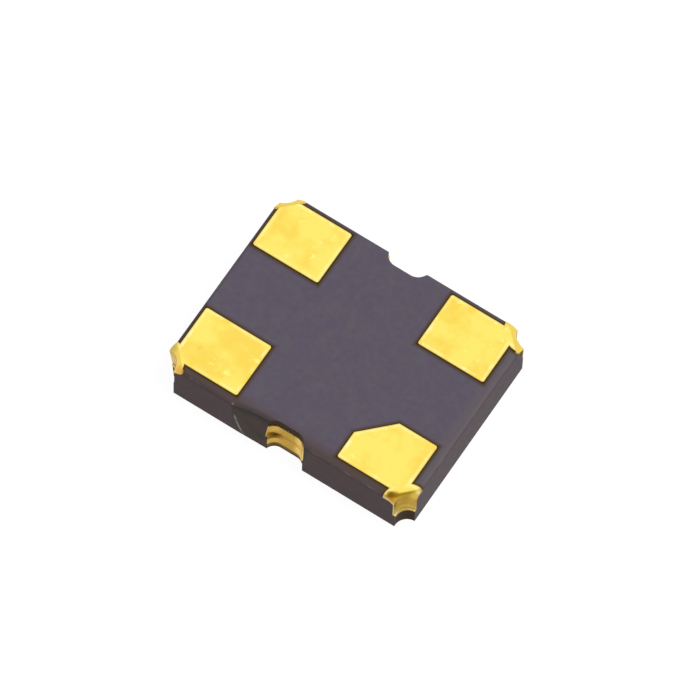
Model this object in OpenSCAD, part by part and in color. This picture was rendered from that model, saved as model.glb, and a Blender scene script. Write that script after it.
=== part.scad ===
// Surface-mount crystal oscillator in a 3.2 x 2.5 mm ceramic package.
// Millimetres. X runs along the package's length and Y across it. +Z points out of the
// terminal face. The origin is the centre of the lid's outer face, which the part rests on.

/* [Ceramic body] */
// Length of the ceramic body
body_l = 3.2; // [2.6:0.05:3.9]
// Width of the ceramic body
body_w = 2.5; // [2.05:0.05:3.1]
// Thickness of the base layer, which carries the terminals
base_t = 0.13; // [0.1:0.01:0.2]
// Thickness of the middle layer, around the chip
chip_frame_t = 0.23; // [0.19:0.01:0.3]
// Thickness of the outer layer, around the crystal
crystal_frame_t = 0.28; // [0.22:0.01:0.35]
// Radius that softens the edges of the terminal face
edge_r = 0.05; // [0.03:0.01:0.08]
// How far the snapped end face at low X leans in at the lid side
end_lean = 0.05; // [0.02:0.01:0.08]
// Width of the rim between the outside and the crystal's cavity
rim_w = 0.5; // [0.46:0.01:0.6]
// Radius in the corners of both cavities
cavity_r = 0.1; // [0.05:0.01:0.14]
// Width of the shelf that carries the glued end of the crystal
mount_shelf_w = 0.48; // [0.4:0.01:0.58]
// Width of the shelf past the free end of the crystal
free_shelf_w = 0.12; // [0.08:0.01:0.16]
// Width of the shelf along each long side of the chip's cavity
side_shelf_w = 0.17; // [0.1:0.01:0.22]

/* [Corner castellations] */
// Radius of the round cut at each corner
cast_r = 0.175; // [0.14:0.005:0.2]
// How much smaller that cut is in the outer layer, which leaves a ledge
cast_step = 0.02; // [0.014:0.002:0.03]
// How far the cuts lie off the corners, along the length
cast_shift_x = -0.01; // [-0.02:0.005:0.02]
// How far the cuts lie off the corners, across the width
cast_shift_y = 0.02; // [-0.02:0.005:0.02]
// Length along each side of the 45 degree slope between a cut and the terminal face
slope_leg = 0.3; // [0.28:0.01:0.34]

/* [Side notches] */
// Length of the notch in each long side, where it opens
notch_l = 0.51; // [0.42:0.01:0.62]
// Depth of the notch
notch_d = 0.12; // [0.1:0.005:0.15]
// How much shallower the notch is in the outer layer, which leaves a ledge
notch_step = 0.02; // [0.014:0.002:0.03]
// Radius of the two ends of the notch, which meet the side at a slant
notch_r = 0.155; // [0.15:0.005:0.2]
// Place of the front notch along the side, from the middle
front_notch_x = -0.005; // [-0.1:0.005:0.1]
// Place of the rear notch along the side, from the middle
rear_notch_x = 0; // [-0.1:0.005:0.1]

/* [Gold plating] */
// Length of each terminal pad
pad_l = 0.86; // [0.7:0.02:1.04]
// Width of each terminal pad
pad_w = 0.706; // [0.58:0.002:0.86]
// Gap from the end of the body to the pads
pad_gap_x = 0.09; // [0.07:0.005:0.12]
// Gap from the long side of the body to the pads
pad_gap_y = 0.0885; // [0.07:0.0005:0.12]
// How far the printed pads lie off the middle, along the length
print_shift_x = -0.04; // [-0.05:0.005:0.05]
// How far the printed pads lie off the middle, across the width
print_shift_y = 0.023; // [-0.04:0.001:0.04]
// Thickness of a pad
pad_t = 0.015; // [0.01:0.001:0.03]
// Radius of a pad's corners
pad_r = 0.03; // [0.02:0.005:0.06]
// Leg of the corner that is cut off terminal 1 as the index mark
index_cut = 0.36; // [0.2:0.02:0.46]
// Radius of the plated collar around each castellation
collar_r = 0.28; // [0.26:0.01:0.32]
// Thickness of the plating in the castellations and notches
plate_t = 0.012; // [0.008:0.001:0.014]
// Height left bare between a side contact and the lid side of the ceramic
side_bare_t = 0.06; // [0.03:0.01:0.12]

/* [Seal ring and lid] */
// Gap from the outside of the body to the seal ring
ring_inset = 0.2; // [0.17:0.01:0.24]
// Width of the seal ring's band
ring_w = 0.24; // [0.19:0.01:0.25]
// Height of the seal ring
ring_t = 0.1; // [0.07:0.01:0.15]
// Radius of the seal ring's outer corners
ring_r = 0.35; // [0.28:0.01:0.43]
// Thickness of the braze film under the seal ring
braze_t = 0.015; // [0.01:0.001:0.03]
// Thickness of the lid
lid_t = 0.08; // [0.06:0.01:0.12]
// Gap from the outside of the seal ring to the edge of the lid
lid_inset = 0.03; // [0.02:0.005:0.05]

/* [Crystal] */
// Thickness of the quartz blank
crystal_t = 0.05; // [0.035:0.005:0.07]
// Gap between the blank's glued end and the cavity wall
crystal_end_gap = 0.08; // [0.05:0.01:0.1]
// Gap between the blank's free end and the cavity wall
crystal_free_gap = 0.22; // [0.1:0.01:0.3]
// Gap between the blank's long sides and the cavity wall
crystal_side_gap = 0.15; // [0.1:0.01:0.2]
// Thickness of an electrode
electrode_t = 0.004; // [0.002:0.001:0.006]
// Gap between an electrode and the blank's long sides
electrode_side_gap = 0.17; // [0.1:0.01:0.2]
// Gap between the electrodes and the blank's free end
electrode_free_gap = 0.2; // [0.1:0.01:0.3]
// Width of the electrodes' tabs
tab_w = 0.26; // [0.2:0.01:0.3]
// Side of each land that the crystal is glued to
crystal_land = 0.34; // [0.28:0.01:0.38]
// Thickness of every land inside the package
land_t = 0.012; // [0.008:0.001:0.02]
// Radius of an adhesive dot
dot_r = 0.11; // [0.08:0.01:0.13]
// Height of an adhesive dot
dot_t = 0.02; // [0.015:0.001:0.03]

/* [Chip] */
// Thickness of the chip
chip_t = 0.12; // [0.1:0.01:0.13]
// Gap between the chip and the ends of its cavity
chip_gap_x = 0.23; // [0.15:0.01:0.28]
// Gap between the chip and the sides of its cavity
chip_gap_y = 0.14; // [0.1:0.01:0.17]
// Radius of a bump
bump_r = 0.045; // [0.03:0.005:0.055]
// Height of a bump
bump_t = 0.03; // [0.02:0.005:0.035]
// Distance from the chip's edges to the middle of the bumps
bump_inset = 0.1; // [0.08:0.01:0.12]
// Side of each land under a bump
chip_land = 0.13; // [0.11:0.01:0.15]

/* [Chipped edge] */
// Radius of the shallow shell-shaped break in the front side
break_r = 2.3; // [2:0.1:2.8]
// Depth of the break
break_d = 0.055; // [0.03:0.005:0.07]
// Place of the deepest point of the break, from the front notch's left end
break_x = 0.07; // [-0.1:0.01:0.15]
// How far that point lies below the terminal face
break_drop = 0.2; // [0.1:0.02:0.3]

/* [Hidden] */
$fn = 64;

CERAMIC = "#4d4650";
GOLD = "#f0cb5a";
KOVAR = "#c9b98a";
NICKEL = "#c8c8c4";
SOLDER = "#d8d4c4";
QUARTZ = "#dfe8ee";
SILVER = "#d0d2d6";
ADHESIVE = "#a9a9a4";
SILICON = "#5b6070";

// Extra length that lets a cut run clear of a face
over = 0.1;

// Levels, from the lid's outer face up to the terminal face
z_ring = lid_t;
z_braze = z_ring + ring_t;
z_rim = z_braze + braze_t;
z_shelf = z_rim + crystal_frame_t;
z_floor = z_shelf + chip_frame_t;
z_top = z_floor + base_t;

// Crystal cavity, centred on the body
cavity_l = body_l - 2 * rim_w;
cavity_w = body_w - 2 * rim_w;

// Chip cavity, which leaves a wider shelf under the glued end of the crystal
chip_cavity_l = cavity_l - mount_shelf_w - free_shelf_w;
chip_cavity_w = cavity_w - 2 * side_shelf_w;
chip_x = (mount_shelf_w - free_shelf_w) / 2;

// Terminal pads: the middle of each, before the print's shift
pad_x = body_l / 2 - pad_gap_x - pad_l / 2;
pad_y = body_w / 2 - pad_gap_y - pad_w / 2;

// Centres of a notch's two ends: the radius reaches past the side line
notch_end_x = notch_l / 2 - sqrt(pow(notch_r, 2) - pow(notch_r - notch_d, 2));
notch_end_y = notch_d - notch_r;

// Distance from a corner to the top of its slope, along the diagonal
slope_reach = slope_leg / sqrt(2);

// Seal ring and lid
ring_l = body_l - 2 * ring_inset;
ring_wide = body_w - 2 * ring_inset;
lid_l = ring_l - 2 * lid_inset;
lid_w = ring_wide - 2 * lid_inset;

// Crystal blank: its glued end is at low X
crystal_x0 = -cavity_l / 2 + crystal_end_gap;
crystal_x1 = cavity_l / 2 - crystal_free_gap;
crystal_l = crystal_x1 - crystal_x0;
crystal_w = cavity_w - 2 * crystal_side_gap;
z_dot = z_shelf - land_t - dot_t;
z_crystal_top = z_dot - electrode_t;
z_crystal = z_crystal_top - crystal_t;

// Lands, dots and tabs of the crystal, in the middle of its shelf
land_x = -cavity_l / 2 + mount_shelf_w / 2;
land_y = crystal_w / 2 - crystal_land / 2;

// Electrodes
electrode_x0 = land_x + crystal_land / 2 + electrode_side_gap / 2;
electrode_x1 = crystal_x1 - electrode_free_gap;
electrode_w = crystal_w - 2 * electrode_side_gap;

// Chip, bumps and lands
chip_l = chip_cavity_l - 2 * chip_gap_x;
chip_w = chip_cavity_w - 2 * chip_gap_y;
z_chip_land = z_floor - land_t;
z_bump = z_chip_land - bump_t;
z_chip = z_bump - chip_t;
BUMP_COLUMNS = 3;
bump_pitch_x = (chip_l - 2 * bump_inset) / (BUMP_COLUMNS - 1);
bump_pitch_y = chip_w - 2 * bump_inset;

// ---- Shapes that repeat ----

module rounded_rectangle(l, w, r) {
    square([l - 2 * r, w], center = true);
    square([l, w - 2 * r], center = true);
    for (sx = [-1, 1])
        for (sy = [-1, 1])
            translate([sx * (l / 2 - r), sy * (w / 2 - r)])
                circle(r);
}

// A slab from one level up to another
module slab(z0, z1) {
    translate([0, 0, z0])
        linear_extrude(z1 - z0)
            children();
}

// A notch that opens at y = 0 and runs into the body, towards +Y. The inset makes it smaller
module notch_outline(inset) {
    for (side = [-1, 1])
        translate([side * notch_end_x, notch_end_y])
            circle(notch_r - inset);
    translate([-notch_end_x, notch_end_y])
        square([2 * notch_end_x, notch_r - inset]);
}

module at_front_notch() {
    translate([front_notch_x, -body_w / 2])
        children();
}

module at_rear_notch() {
    translate([rear_notch_x, body_w / 2])
        mirror([0, 1])
            children();
}

// Outline of one ceramic layer. Its corner cuts and notches are smaller by the two steps
module layer_outline(step_corner, step_notch) {
    difference() {
        square([body_l, body_w], center = true);
        for (sx = [-1, 1])
            for (sy = [-1, 1])
                translate([sx * body_l / 2 + cast_shift_x, sy * body_w / 2 + cast_shift_y])
                    circle(cast_r - step_corner);
        at_front_notch()
            notch_outline(step_notch);
        at_rear_notch()
            notch_outline(step_notch);
    }
}

// Cutter that rounds the top edge along X at y = 0, where the body lies towards -Y
module edge_cutter(l) {
    rotate([90, 0, 90])
        linear_extrude(l + 2 * over, center = true)
            difference() {
                translate([-edge_r, -edge_r])
                    square(edge_r + over);
                translate([-edge_r, -edge_r])
                    circle(edge_r);
            }
}

// Cutter for the 45 degree slope at the corner (sx, sy). It meets the terminal face at this
// distance from the corner, along the diagonal
module corner_slope(sx, sy, reach) {
    translate([sx * body_l / 2, sy * body_w / 2, z_top])
        rotate([90, 0, atan2(-sy, -sx)])
            linear_extrude(2 * slope_leg, center = true)
                polygon([[reach + over, over], [-over, over], [-over, -reach - over]]);
}

// Wedge between the end face at low X and the upright
module lean_cutter() {
    rotate([90, 0, 0])
        linear_extrude(body_w + 2 * over, center = true)
            polygon([
                [-body_l / 2, z_top - edge_r], [-body_l / 2 + end_lean, z_rim],
                [-body_l / 2 + end_lean, z_rim - over], [-body_l / 2 - over, z_rim - over],
                [-body_l / 2 - over, z_top - edge_r]
            ]);
}

// What is taken off the outside of the body: soft edges, the leaning end and the break
module outside_cuts() {
    for (turn = [0, 180]) {
        rotate(turn)
            translate([0, body_w / 2, z_top])
                edge_cutter(body_l);
        rotate(turn + 90)
            translate([0, body_l / 2, z_top])
                edge_cutter(body_w);
    }
    lean_cutter();
    translate([
        front_notch_x - notch_l / 2 + break_x, -body_w / 2 - break_r + break_d, z_top - break_drop
    ])
        sphere(break_r, $fn = 128);
}

// The body before its castellations and notches, which trims the plating
module body_envelope() {
    difference() {
        slab(z_rim, z_top)
            square([body_l, body_w], center = true);
        outside_cuts();
    }
}

// ---- Ceramic and its seal ----

module ceramic_package() {
    color(CERAMIC)
        difference() {
            union() {
                slab(z_shelf, z_top)
                    layer_outline(0, 0);
                slab(z_rim, z_shelf)
                    layer_outline(cast_step, notch_step);
            }
            slab(z_rim - over, z_shelf)
                rounded_rectangle(cavity_l, cavity_w, cavity_r);
            translate([chip_x, 0, 0])
                slab(z_shelf - over, z_floor)
                    rounded_rectangle(chip_cavity_l, chip_cavity_w, cavity_r);
            for (sx = [-1, 1])
                for (sy = [-1, 1])
                    corner_slope(sx, sy, slope_reach);
            outside_cuts();
        }
}

module ring_outline() {
    difference() {
        rounded_rectangle(ring_l, ring_wide, ring_r);
        rounded_rectangle(ring_l - 2 * ring_w, ring_wide - 2 * ring_w, ring_r - ring_w);
    }
}

module ring_braze() {
    color(SOLDER)
        slab(z_braze, z_rim)
            ring_outline();
}

module seal_ring() {
    color(KOVAR)
        slab(z_ring, z_braze)
            ring_outline();
}

module lid() {
    color(NICKEL)
        slab(0, z_ring)
            rounded_rectangle(lid_l, lid_w, ring_r - lid_inset);
}

// ---- Terminals and side contacts ----

// An upright drum at the castellation of corner (sx, sy)
module cast_drum(sx, sy, r, z0, z1) {
    translate([sx * body_l / 2 + cast_shift_x, sy * body_w / 2 + cast_shift_y, 0])
        slab(z0, z1)
            circle(r);
}

// Plating of one castellation: its wall, its ledge and its slope
module corner_lining(sx, sy) {
    difference() {
        intersection() {
            union() {
                cast_drum(sx, sy, cast_r, z_shelf, z_top);
                corner_slope(sx, sy, slope_reach);
            }
            body_envelope();
        }
        terminal_void(sx, sy);
    }
}

// Collar on the terminal face around one castellation, which follows the soft edges down
module collar(sx, sy) {
    intersection() {
        translate([
            sx * body_l / 2 + print_shift_x, sy * body_w / 2 + print_shift_y, z_top - edge_r - over
        ])
            cylinder(h = edge_r + 2 * over, r = collar_r);
        difference() {
            translate([0, 0, pad_t])
                body_envelope();
            body_envelope();
        }
    }
}

// What stays open inside the plating of one terminal
module terminal_void(sx, sy) {
    cast_drum(sx, sy, cast_r - cast_step - plate_t, z_shelf - over, z_top + over);
    cast_drum(sx, sy, cast_r - plate_t, z_shelf + plate_t, z_top + over);
    corner_slope(sx, sy, slope_reach - plate_t * sqrt(2));
}

// Outline of one pad. The index mark is a cut across its corner nearest the middle
module pad_outline(sx, sy, index) {
    difference() {
        rounded_rectangle(pad_l, pad_w, pad_r);
        if (index)
            translate([-sx * pad_l / 2, -sy * pad_w / 2])
                rotate(45)
                    square(index_cut * sqrt(2), center = true);
    }
}

// One terminal, at the corner (sx, sy)
module terminal(sx, sy, index = false) {
    color(GOLD)
        union() {
            difference() {
                union() {
                    translate([sx * pad_x + print_shift_x, sy * pad_y + print_shift_y, 0])
                        slab(z_top, z_top + pad_t)
                            pad_outline(sx, sy, index);
                    collar(sx, sy);
                }
                terminal_void(sx, sy);
            }
            corner_lining(sx, sy);
        }
}

module terminal_1() { terminal(1, -1, index = true); }
module terminal_2() { terminal(1, 1); }
module terminal_3() { terminal(-1, 1); }
module terminal_4() { terminal(-1, -1); }

// Plan of the lining of a notch, between two insets
module notch_lining(outer, inner) {
    difference() {
        notch_outline(outer);
        notch_outline(inner);
    }
}

// Lining of a notch: two walls, joined by a strip on the ledge between them
module side_lining() {
    slab(z_shelf, z_floor)
        notch_lining(0, plate_t);
    slab(z_shelf, z_shelf + plate_t)
        notch_lining(0, notch_step + plate_t);
    slab(z_rim + side_bare_t, z_shelf)
        notch_lining(notch_step, notch_step + plate_t);
}

module side_contact_front() {
    color(GOLD)
        intersection() {
            at_front_notch()
                side_lining();
            body_envelope();
        }
}

module side_contact_rear() {
    color(GOLD)
        intersection() {
            at_rear_notch()
                side_lining();
            body_envelope();
        }
}

// ---- Crystal ----

module crystal_blank() {
    color(QUARTZ)
        translate([crystal_x0, -crystal_w / 2, z_crystal])
            cube([crystal_l, crystal_w, crystal_t]);
}

// A thin film on a face of the blank, between two X limits
module film(x0, x1, y, w, z) {
    translate([x0, y - w / 2, z])
        cube([x1 - x0, w, electrode_t]);
}

// The electrode on the chip's side, with its tab to adhesive dot 1
module chip_side_electrode() {
    color(SILVER)
        union() {
            film(electrode_x0, electrode_x1, 0, electrode_w, z_crystal_top);
            film(crystal_x0, electrode_x0, -land_y, tab_w, z_crystal_top);
        }
}

// The electrode on the lid's side, with a tab that wraps the glued end to reach dot 2
module lid_side_electrode() {
    z_face = z_crystal - electrode_t;
    color(SILVER)
        union() {
            film(electrode_x0, electrode_x1, 0, electrode_w, z_face);
            film(crystal_x0 - electrode_t, electrode_x0, land_y, tab_w, z_face);
            translate([crystal_x0 - electrode_t, land_y - tab_w / 2, z_face])
                cube([electrode_t, tab_w, crystal_t + 2 * electrode_t]);
            film(crystal_x0 - electrode_t, land_x + tab_w / 2, land_y, tab_w, z_crystal_top);
        }
}

module crystal_land(side) {
    color(GOLD)
        translate([land_x, side * land_y, 0])
            slab(z_shelf - land_t, z_shelf)
                square(crystal_land, center = true);
}

module crystal_land_1() { crystal_land(-1); }
module crystal_land_2() { crystal_land(1); }

module adhesive_dot(side) {
    color(ADHESIVE)
        translate([land_x, side * land_y, z_dot])
            cylinder(h = dot_t, r = dot_r);
}

module adhesive_dot_1() { adhesive_dot(-1); }
module adhesive_dot_2() { adhesive_dot(1); }

// ---- Chip ----

module oscillator_chip() {
    color(SILICON)
        translate([chip_x - chip_l / 2, -chip_w / 2, z_chip])
            cube([chip_l, chip_w, chip_t]);
}

// Places its children at bump n, counted from 1 in two rows
module at_bump(n) {
    column = (n - 1) % BUMP_COLUMNS;
    row = floor((n - 1) / BUMP_COLUMNS);
    translate([
        chip_x + (column - (BUMP_COLUMNS - 1) / 2) * bump_pitch_x,
        (row - 0.5) * bump_pitch_y,
        0
    ])
        children();
}

module chip_bump(n) {
    color(GOLD)
        at_bump(n)
            translate([0, 0, z_bump])
                cylinder(h = bump_t, r = bump_r);
}

module chip_land(n) {
    color(GOLD)
        at_bump(n)
            slab(z_chip_land, z_floor)
                square(chip_land, center = true);
}

ceramic_package();
ring_braze();
seal_ring();
lid();
terminal_1();
terminal_2();
terminal_3();
terminal_4();
side_contact_front();
side_contact_rear();
crystal_blank();
chip_side_electrode();
lid_side_electrode();
crystal_land_1();
crystal_land_2();
adhesive_dot_1();
adhesive_dot_2();
oscillator_chip();
chip_bump(1);  // chip_bump_1
chip_bump(2);  // chip_bump_2
chip_bump(3);  // chip_bump_3
chip_bump(4);  // chip_bump_4
chip_bump(5);  // chip_bump_5
chip_bump(6);  // chip_bump_6
chip_land(1);  // chip_land_1
chip_land(2);  // chip_land_2
chip_land(3);  // chip_land_3
chip_land(4);  // chip_land_4
chip_land(5);  // chip_land_5
chip_land(6);  // chip_land_6
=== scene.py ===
"""Looks of a surface-mount crystal oscillator in a dark ceramic package.

The shapes are modelled in millimetres and turned into metres as each piece is finished.
The part lies on its lid at z = 0 and +Z points out of the terminal face.
"""

import math

import bmesh
import bpy
from mathutils import Matrix, Vector
from mathutils.geometry import intersect_point_line


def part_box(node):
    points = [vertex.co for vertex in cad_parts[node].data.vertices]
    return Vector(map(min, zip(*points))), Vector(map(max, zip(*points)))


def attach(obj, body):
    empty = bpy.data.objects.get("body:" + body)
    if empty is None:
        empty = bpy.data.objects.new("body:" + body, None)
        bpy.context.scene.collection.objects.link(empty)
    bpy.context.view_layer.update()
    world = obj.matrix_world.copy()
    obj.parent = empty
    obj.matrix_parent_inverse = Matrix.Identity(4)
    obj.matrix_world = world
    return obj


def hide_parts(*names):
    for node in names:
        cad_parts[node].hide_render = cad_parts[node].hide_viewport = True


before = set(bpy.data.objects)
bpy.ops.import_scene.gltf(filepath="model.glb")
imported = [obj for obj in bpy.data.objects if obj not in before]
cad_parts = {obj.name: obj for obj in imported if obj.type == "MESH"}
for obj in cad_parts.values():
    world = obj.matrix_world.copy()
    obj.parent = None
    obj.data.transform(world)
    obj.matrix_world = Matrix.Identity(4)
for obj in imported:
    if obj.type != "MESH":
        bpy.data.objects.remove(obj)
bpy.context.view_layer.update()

MM = 0.001
scene = bpy.context.scene
scene.view_settings.view_transform = "Standard"


def box_mm(node):
    low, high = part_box(node)
    return low / MM, high / MM


# ---- Levels and sizes of the package, in millimetres ----

body_low, body_high = box_mm("ceramic_package")
lid_low, lid_high = box_mm("lid")
ring_low, ring_high = box_mm("seal_ring")
side_low, side_high = box_mm("side_contact_front")
BODY_L = body_high.x - body_low.x
BODY_W = body_high.y - body_low.y
Z_RIM = body_low.z
Z_TOP = body_high.z
Z_FLOOR = side_high.z
Z_SHELF = box_mm("crystal_land_1")[1].z
Z_PAD = box_mm("terminal_1")[1].z

EDGE_R = 0.05           # soft edges of the terminal face
END_LEAN = 0.05         # how far the end at low X leans in at the lid side
CAST_R = 0.175          # corner castellation
CAST_STEP = 0.02        # how much smaller it is in the outer layer
CAST_SHIFT = Vector((-0.01, 0.02))
SLOPE_LEG = 0.3         # 45 degree slope between a castellation and the terminal face
OUTER_SHIFT = 0.012     # how far the outer layer's cuts lie off the others, along X
NOTCH_L = 0.51          # side notch
NOTCH_D = 0.12
NOTCH_STEP = 0.02
NOTCH_R = 0.155
FRONT_NOTCH_X = -0.005
REAR_NOTCH_X = 0.0
RIM_W = 0.5             # rim around the crystal's cavity
CAVITY_R = 0.1
MOUNT_SHELF_W = 0.48
FREE_SHELF_W = 0.12
SIDE_SHELF_W = 0.17
PAD_L = 0.86
PAD_W = 0.706
PAD_R = 0.03
PAD_GAP_X = 0.09        # from the ends of the body to the pads
PAD_GAP_Y = 0.0885
PRINT_SHIFT = Vector((-0.04, 0.023))
PRINT_R = 0.009         # rounding along the upper edge of a printed pad
INDEX_CUT = 0.36
COLLAR_R = 0.28         # plated collar around each castellation
PLATE_T = 0.012
FOLD_R = 0.018          # rounding where the plating folds from a collar onto the slope
LEDGE_R = 0.009         # rounding of the plating's ledge in a castellation
LINING_END = 0.20       # how far a side contact reaches past the notch's middle at its low level
RING_W = 0.24
RING_R = 0.35
BREAK_HALF_X = 0.50     # shell-shaped break in the front side
BREAK_HALF_Z = 0.89
BREAK_D = 0.065
RIPPLE = 0.0022         # height of the break's ripples
WORN_L = 0.3            # terminal 4's lining is worn back along this much of the side,
WORN_TOP = Z_TOP - 0.11  # from here down, at this slant
WORN_ANGLE = 17.0
FLARE = 0.02            # how far terminal 4's torn plating stands out at the end face
FLARE_TIP = Z_TOP - 0.075
FLARE_REACH = 0.30      # from the side face to where it lies flat again
FLARE_FADE = 0.10
FLARE_SKIN = 0.004      # plating within this distance of the end face bends
OVER = 0.1              # how far a cutter runs clear of a face
BURY = 0.003            # how far a printed pad sinks into the face under it
SAME_PLACE = 5e-4       # points closer than this are one point
HAIR = 1e-4             # heights closer than this are one level
ROUND = 96              # steps in a full turn
BEAD_ROUND = 40         # steps in a full turn of a bump or an adhesive dot
RING_STEPS = 14         # steps in a corner of the ring and the lid
SHARP = 35.0            # edges sharper than this, in degrees, aren't shaded smooth

PAD_X = BODY_L / 2 - PAD_GAP_X - PAD_L / 2
PAD_Y = BODY_W / 2 - PAD_GAP_Y - PAD_W / 2
SLOPE_REACH = SLOPE_LEG / math.sqrt(2)
BREAK_MIDDLE = Vector((-0.19, -BODY_W / 2, Z_TOP - 0.02))


# ---- Camera, in metres ----

FILM_W, LENS = 36.0, 436.85             # these two in millimetres
AIM = Vector((0.00004, 0.000007, 0.000835))
DISTANCE = 0.092994
AZIMUTH, ELEVATION, ROLL = (math.radians(angle) for angle in (30.434, 66.044, 2.814))
NEAREST, FARTHEST = 0.005, 5.0


def place_camera():
    """A long lens, looking down on the terminal face from the front right."""
    data = bpy.data.cameras.new("camera")
    data.sensor_width = FILM_W
    data.lens = LENS
    data.clip_start = NEAREST
    data.clip_end = FARTHEST
    camera = bpy.data.objects.new("camera", data)
    back = Vector((
        math.sin(AZIMUTH) * math.cos(ELEVATION),
        -math.cos(AZIMUTH) * math.cos(ELEVATION),
        math.sin(ELEVATION),
    ))
    turn = (-back).to_track_quat("-Z", "Y").to_matrix() @ Matrix.Rotation(ROLL, 3, "Z")
    camera.matrix_world = Matrix.Translation(AIM + back * DISTANCE) @ turn.to_4x4()
    scene.collection.objects.link(camera)
    scene.camera = camera


place_camera()


# ---- Procedural finishes ----

class Finish:
    """A material under construction: a Principled shader and the patterns that feed it."""

    def __init__(self, name, **constants):
        self.material = bpy.data.materials.new(name)
        self.material.use_nodes = True
        self.tree = self.material.node_tree
        self.shader = self.tree.nodes["Principled BSDF"]
        for socket, value in constants.items():
            self.shader.inputs[socket.replace("_", " ")].default_value = value
        mapping = self.node("ShaderNodeMapping", Scale=(1 / MM,) * 3)
        self.join(self.node("ShaderNodeTexCoord").outputs["Object"], mapping.inputs["Vector"])
        self.place = mapping.outputs["Vector"]
        parts = self.node("ShaderNodeSeparateXYZ")
        self.join(self.place, parts.inputs[0])
        self.x, self.y, self.z = parts.outputs

    def node(self, kind, settings=None, **inputs):
        made = self.tree.nodes.new(kind)
        for name, value in (settings or {}).items():
            setattr(made, name, value)
        for socket, value in inputs.items():
            made.inputs[socket.replace("_", " ")].default_value = value
        return made

    def join(self, source, target):
        if isinstance(source, (int, float)):
            target.default_value = source
        else:
            self.tree.links.new(source, target)

    # Arithmetic on patterns

    def math(self, operation, *values, clamp=False):
        made = self.node("ShaderNodeMath", {"operation": operation, "use_clamp": clamp})
        for value, socket in zip(values, made.inputs):
            self.join(value, socket)
        return made.outputs[0]

    def times(self, *factors):
        result = factors[0]
        for factor in factors[1:]:
            result = self.math("MULTIPLY", result, factor)
        return result

    def less(self, value, taken):
        return self.math("SUBTRACT", value, taken)

    def size(self, value):
        return self.math("ABSOLUTE", value)

    def slant(self, a, b):
        """The length of a slanting line that runs a one way and b the other."""
        return self.math("SQRT", self.math("ADD", self.times(a, a), self.times(b, b)))

    def fade(self, value, start, end):
        """0 where value is at start, 1 where it is at end, and a smooth change between."""
        made = self.node("ShaderNodeMapRange", {"interpolation_type": "SMOOTHSTEP"},
                         From_Min=start, From_Max=end)
        self.join(value, made.inputs["Value"])
        return made.outputs[0]

    def band(self, value, middle, width):
        """1 where value is at middle, fading to 0 at this width on either side."""
        return self.fade(self.size(self.less(value, middle)), width, 0.0)

    # Patterns

    def shifted(self, offset, stretch=(1, 1, 1)):
        mapping = self.node("ShaderNodeMapping", Scale=stretch, Location=offset)
        self.join(self.place, mapping.inputs["Vector"])
        return mapping.outputs[0]

    def noise(self, scale, detail=3.0, roughness=0.5, stretch=(1, 1, 1), offset=(0, 0, 0)):
        """Noise with this many features to the millimetre."""
        made = self.node("ShaderNodeTexNoise", Scale=scale, Detail=detail, Roughness=roughness)
        self.join(self.shifted(offset, stretch), made.inputs["Vector"])
        return made.outputs["Fac"]

    def grains(self, scale, size, offset=(0, 0, 0)):
        """Scattered specks: 1 inside a speck of this size in millimetres, 0 elsewhere."""
        made = self.node("ShaderNodeTexVoronoi", Scale=scale)
        self.join(self.shifted(offset), made.inputs["Vector"])
        return self.fade(made.outputs["Distance"], size * scale, size * scale * 0.4)

    def spot(self, centre, reach, core):
        """1 within the core of a point, fading to 0 at a longer reach. All in millimetres."""
        made = self.node("ShaderNodeVectorMath", {"operation": "DISTANCE"})
        self.join(self.place, made.inputs[0])
        made.inputs[1].default_value = centre
        return self.fade(made.outputs["Value"], reach, core)

    def facing_up(self):
        """1 on a face that looks along +Z, 0 on an upright one."""
        normal = self.node("ShaderNodeSeparateXYZ")
        self.join(self.node("ShaderNodeNewGeometry").outputs["Normal"], normal.inputs[0])
        return normal.outputs[2]

    # Colours

    def mix(self, share, low, high):
        """The colour low where share is 0 and high where it is 1."""
        made = self.node("ShaderNodeMix", {"data_type": "RGBA"})
        self.join(share, made.inputs["Factor"])
        for value, socket in ((low, made.inputs[6]), (high, made.inputs[7])):
            if isinstance(value, tuple):
                socket.default_value = (*value, 1.0)
            else:
                self.join(value, socket)
        return made.outputs[2]

    def tint(self, base, colour, share, *patterns):
        """Base with this share of a colour laid over it where all the patterns are 1."""
        return self.mix(self.times(*patterns, share), base, colour)

    def marks(self, base, *marks):
        """Base with round marks on it: the place, reach, core, share and colour of each."""
        for centre, reach, core, share, colour in marks:
            base = self.tint(base, colour, share, self.spot(centre, reach, core))
        return base

    # What the patterns drive

    def colour(self, value):
        self.join(value, self.shader.inputs["Base Color"])

    def roughness(self, value):
        self.join(value, self.shader.inputs["Roughness"])

    def relief(self, *layers):
        """Bump made of (pattern, depth in millimetres) layers."""
        normal = None
        for pattern, depth in layers:
            bump = self.node("ShaderNodeBump", Strength=1.0, Distance=depth * MM)
            self.join(pattern, bump.inputs["Height"])
            if normal:
                self.join(normal, bump.inputs["Normal"])
            normal = bump.outputs["Normal"]
        self.join(normal, self.shader.inputs["Normal"])


FRONT_Y, HIGH_X = -BODY_W / 2, BODY_L / 2


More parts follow.
